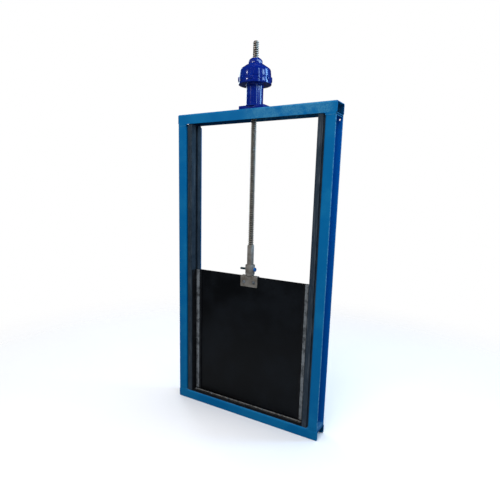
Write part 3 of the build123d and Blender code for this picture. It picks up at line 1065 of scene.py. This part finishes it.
class GATE_OT_drive_nut(bpy.types.Operator):
    """Shapes the domed hexagon of the drive nut on top of the housing"""

    bl_idname = "gate.drive_nut"
    bl_label = "Drive nut"

    def execute(self, context):
        x, y = stem_axis()
        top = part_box("drive_nut")[1].z
        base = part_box("upper_housing")[1].z + 0.5 * MM
        height = top - base
        flats_half = 28 * MM
        corner = flats_half / cos(pi / 6)
        bore = 12.3 * MM
        place = {"location": (x, y, base + height / 2), "rotation": (0, 0, radians(NUT_TURN))}
        shape = {"vertices": 6, "radius": corner, "depth": height}
        cap = fresh("drive_nut_cap", bpy.ops.mesh.primitive_cylinder_add, **shape, **place)
        shares = ((0.975, 0.3), (0.92, 0.48), (0.83, 0.66), (0.70, 0.83), (0.56, 0.95))
        rim = [(0, base - MM), (corner + MM, base - MM), (corner + 0.4 * MM, base + height * 0.12)]
        curve = [(corner * across, base + height * up) for across, up in shares]
        outline = [*rim, *curve, (14 * MM, top), (0, top)]
        dome = turned("drive_nut_dome_tool", outline, (x, y, 0), 72)
        cut(cap, dome, "INTERSECT")
        hole = rod("drive_nut_bore_tool", bore, (x, y, base - MM), (x, y, top + MM), 48)
        cut(cap, hole)
        eased(cap, 0.7 * MM, 2, 25)
        journal, foot = 22 * MM, base - 24 * MM
        outline = [(bore, foot), (journal, foot), (journal, base + MM), (bore, base + MM)]
        neck = turned("drive_nut_neck", outline, (x, y, 0), 48)
        nut = smooth(joined("drive_nut_cap", [cap, neck]), 24)
        place_on(nut, "nut", "headstock_paint", "headstock_paint", "drive_nut")
        return {"FINISHED"}


class GATE_OT_pedestal(bpy.types.Operator):
    """Makes the headstock's base plate and tube, with the welds that hold them"""

    bl_idname = "gate.pedestal"
    bl_label = "Headstock pedestal"

    def execute(self, context):
        sizes = context.scene.gate_sizes
        x, y = stem_axis()
        low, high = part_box("headstock_base")
        base = block("headstock_base_plate", low, high)
        hole = rod("base_bore_tool", STEM_PASSAGE, (x, y, low.z - MM), (x, y, high.z + MM), 48)
        cut(base, hole)
        eased(base, 1.4 * MM, 3)
        smooth(base)
        place_on(base, "frame", "headstock_paint", "headstock_paint", "headstock_base")

        tube_low, tube_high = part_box("headstock_tube")
        radius = radius_of("headstock_tube")
        inner = radius - 4 * MM
        outline = [(inner, tube_low.z), (radius, tube_low.z), (radius, tube_high.z), (inner, tube_high.z)]
        tube = turned("headstock_tube_turned", outline, (x, y, 0), 96)
        smooth(tube)
        place_on(tube, "frame", "headstock_paint", "headstock_paint", "headstock_tube")
        welds = [
            ring_bead("tube_foot_weld", (x, y, tube_low.z), radius, sizes.weld_size * 1.15),
            ring_bead("tube_top_weld", (x, y, tube_high.z), radius, sizes.weld_size * 0.9),
        ]
        left, right, front, back = low.x + MM, high.x - MM, low.y + MM, high.y - MM
        corners = [(left, front), (right, front), (right, back), (left, back)]
        for corner, following in zip(corners, corners[1:] + corners[:1]):
            welds.append(bead("base_weld", (*corner, low.z), (*following, low.z), sizes.weld_size * 0.9))
        welds = joined("headstock_welds", welds)
        place_on(welds, "frame", "headstock_paint", "headstock_paint")
        return {"FINISHED"}


# ---------------------------------------------------------------- frame welds
class GATE_OT_frame_welds(bpy.types.Operator):
    """Lays weld beads where the columns, their end plates and the beams meet"""

    bl_idname = "gate.frame_welds"
    bl_label = "Frame welds"

    def execute(self, context):
        size = context.scene.gate_sizes.weld_size
        column_low, column_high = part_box("right_column")
        foot_low, foot_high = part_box("right_foot_plate")
        cap_low, cap_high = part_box("right_cap_plate")
        wall = 5 * MM
        inside = column_low.x + wall
        front, back = column_low.y + wall, column_high.y - wall
        tip = column_high.x - 3 * MM
        lines = []
        for level in (foot_high.z, cap_low.z):
            lines.append(((inside, front, level), (inside, back, level)))
            lines += [((inside, side, level), (tip, side, level)) for side in (front, back)]
        tacks = []
        for level in (foot_low.z, cap_high.z):
            lines += [((column_low.x, side, level), (tip, side, level)) for side in (front, back)]
            reach, side = 5 * MM, column_low.y + MM
            tacks.append(((column_low.x - reach, side, level), (column_low.x + reach, side, level)))
        right = [bead("weld", *line, size) for line in lines]
        right += [bead("weld", *tack, size * 0.8) for tack in tacks]
        right = joined("right_frame_welds", right)
        left = smooth(mirrored_twin(right, "left_frame_welds"), 60)
        place_on(right, "frame", "frame_paint", "frame_paint")
        place_on(left, "frame", "frame_paint", "frame_paint")
        return {"FINISHED"}


# ---------------------------------------------------------------- stage
CAMERA_PLACE = (0.929, -1.6364, 1.0229)
CAMERA_TURN = 31.865
CAMERA_DIP = 10.947
CAMERA_ROLL = 1.203
CAMERA_LENS = 30.533
CAMERA_SHIFT = (0.0250, 0.0473)


def aimed(place, target):
    return (Vector(target) - Vector(place)).to_track_quat("-Z", "Y").to_euler()


class GATE_OT_stage(bpy.types.Operator):
    """Sets the pale floor, the soft studio lights and the camera"""

    bl_idname = "gate.stage"
    bl_label = "Stage"

    def execute(self, context):
        self.floor(context.scene.gate_colours)
        self.world(context.scene)
        self.lights()
        self.camera(context.scene)
        return {"FINISHED"}

    def floor(self, tones):
        """A disc that fades out round the gate, pale to the camera and darker to all other rays."""
        disc = {"vertices": 96, "radius": 9, "fill_type": "NGON", "location": (0, 0, -MM)}
        floor = fresh("studio_floor", bpy.ops.mesh.primitive_circle_add, **disc)
        net, shader, place = new_material("studio_floor", specular=0.2)
        speck = net.times(net.noise(place, 60.0), 0.05)
        pale = net.mixed(speck, rgba(tones.floor), rgba(tones.floor_speck))
        camera_ray = net.put("ShaderNodeLightPath").outputs["Is Camera Ray"]
        net.feed(shader["Base Color"], net.mixed(camera_ray, rgba(tones.floor_unseen), pale))
        net.feed(shader["Roughness"], 0.9)
        away = net.put("ShaderNodeVectorMath", {"operation": "LENGTH"}, i0=place).outputs["Value"]
        net.feed(shader["Alpha"], net.maths("SUBTRACT", 1.0, net.between(away, 0.7, 2.4)))
        dress("studio_floor", floor)

    def world(self, scene):
        """A white sky to the camera, a soft blue one to the object, and a dim one in its reflections."""
        world = bpy.data.worlds.new("studio_sky")
        scene.world = world
        world.use_nodes = True
        net = Net(world.node_tree)
        back = net.tree.nodes["Background"]
        back.inputs["Color"].default_value = (0.70, 0.84, 1.0, 1)
        seen = net.put("ShaderNodeBackground", Color=(1, 1, 1, 1), Strength=1.0)
        rays = net.put("ShaderNodeLightPath").outputs
        net.feed(back.inputs["Strength"], net.ranged(rays["Is Glossy Ray"], 0.42, 0.035))
        mix = net.put("ShaderNodeMixShader", i0=rays["Is Camera Ray"], i1=back.outputs[0], i2=seen.outputs[0])
        net.feed(net.tree.nodes["World Output"].inputs["Surface"], mix.outputs[0])
        scene.view_settings.view_transform = "Standard"
        scene.view_settings.look = "None"

    def lights(self):
        for name, place, target, size, power, tint, shines in (
            ("key_light", (0.6, -3.2, 3.0), (0, 0, 0.75), (2.4, 1.8), 95, (1, 1, 1), False),
            ("top_light", (0.2, 0.2, 4.2), (0, 0, 0), (2.6, 2.6), 80, (1, 1, 1), False),
            ("back_window", (2.0, 1.1, 1.9), (0, 0, 1.3), (0.55, 1.5), 34, (0.3, 0.62, 1), True),
            ("side_window", (2.0, -1.35, 2.0), (0, 0, 1.3), (0.22, 1.5), 9, (0.4, 0.68, 1), True),
            ("side_lamp", (1.95, -0.05, 2.1), (0, 0, 1.55), (0.5, 0.5), 8, (0.45, 0.72, 1), True),
            ("rim_window", (-2.0, 1.2, 1.9), (0, 0, 1.3), (0.7, 1.8), 16, (0.75, 0.9, 1), True),
            ("front_lamp", (-1.45, -2.55, 2.35), (0, 0, 1.5), (0.25, 0.25), 6, (1, 1, 1), True),
        ):
            clear_selection()
            bpy.ops.object.light_add(type="AREA", location=place, rotation=aimed(place, target))
            light = bpy.context.object
            light.name = light.data.name = name
            light.data.shape = "RECTANGLE"
            light.data.size, light.data.size_y = size
            light.data.energy = power
            light.data.color = tint
            light.visible_glossy = shines

    def camera(self, scene):
        clear_selection()
        turn = (
            Matrix.Rotation(radians(CAMERA_TURN), 4, "Z")
            @ Matrix.Rotation(radians(90 - CAMERA_DIP), 4, "X")
            @ Matrix.Rotation(radians(CAMERA_ROLL), 4, "Z")
        )
        bpy.ops.object.camera_add(location=CAMERA_PLACE, rotation=turn.to_euler())
        camera = bpy.context.object
        camera.name = camera.data.name = "studio_camera"
        camera.data.lens = CAMERA_LENS
        camera.data.sensor_width = 36
        camera.data.shift_x, camera.data.shift_y = CAMERA_SHIFT
        scene.camera = camera


# ---------------------------------------------------------------- panel and registration
OPERATORS = (
    GATE_OT_finishes,
    GATE_OT_stem,
    GATE_OT_sleeve,
    GATE_OT_bracket,
    GATE_OT_cross_bolt,
    GATE_OT_strips,
    GATE_OT_housing,
    GATE_OT_drive_nut,
    GATE_OT_pedestal,
    GATE_OT_frame_welds,
    GATE_OT_stage,
)


class GATE_PT_sidebar(bpy.types.Panel):
    """Lists the gate's sizes, colours and building steps"""

    bl_idname = "GATE_PT_sidebar"
    bl_label = "Sluice gate"
    bl_space_type = "VIEW_3D"
    bl_region_type = "UI"
    bl_category = "Sluice gate"

    def draw(self, context):
        for group in (context.scene.gate_sizes, context.scene.gate_colours):
            box = self.layout.box()
            for name in group.__annotations__:
                box.prop(group, name)
        for operator in OPERATORS:
            self.layout.operator(operator.bl_idname)


CLASSES = (GateSizes, GateColours, *OPERATORS, GATE_PT_sidebar)


def register():
    for cls in CLASSES:
        bpy.utils.register_class(cls)
    bpy.types.Scene.gate_sizes = PointerProperty(type=GateSizes)
    bpy.types.Scene.gate_colours = PointerProperty(type=GateColours)


def unregister():
    del bpy.types.Scene.gate_colours
    del bpy.types.Scene.gate_sizes
    for cls in reversed(CLASSES):
        bpy.utils.unregister_class(cls)


def main():
    register()
    bpy.ops.gate.finishes()
    bpy.ops.gate.stem()
    bpy.ops.gate.sleeve()
    bpy.ops.gate.bracket()
    bpy.ops.gate.cross_bolt()
    bpy.ops.gate.strips()
    bpy.ops.gate.housing()
    bpy.ops.gate.drive_nut()
    bpy.ops.gate.pedestal()
    bpy.ops.gate.frame_welds()
    bpy.ops.gate.stage()
    bpy.context.view_layer.update()


if __name__ == "__main__":
    main()
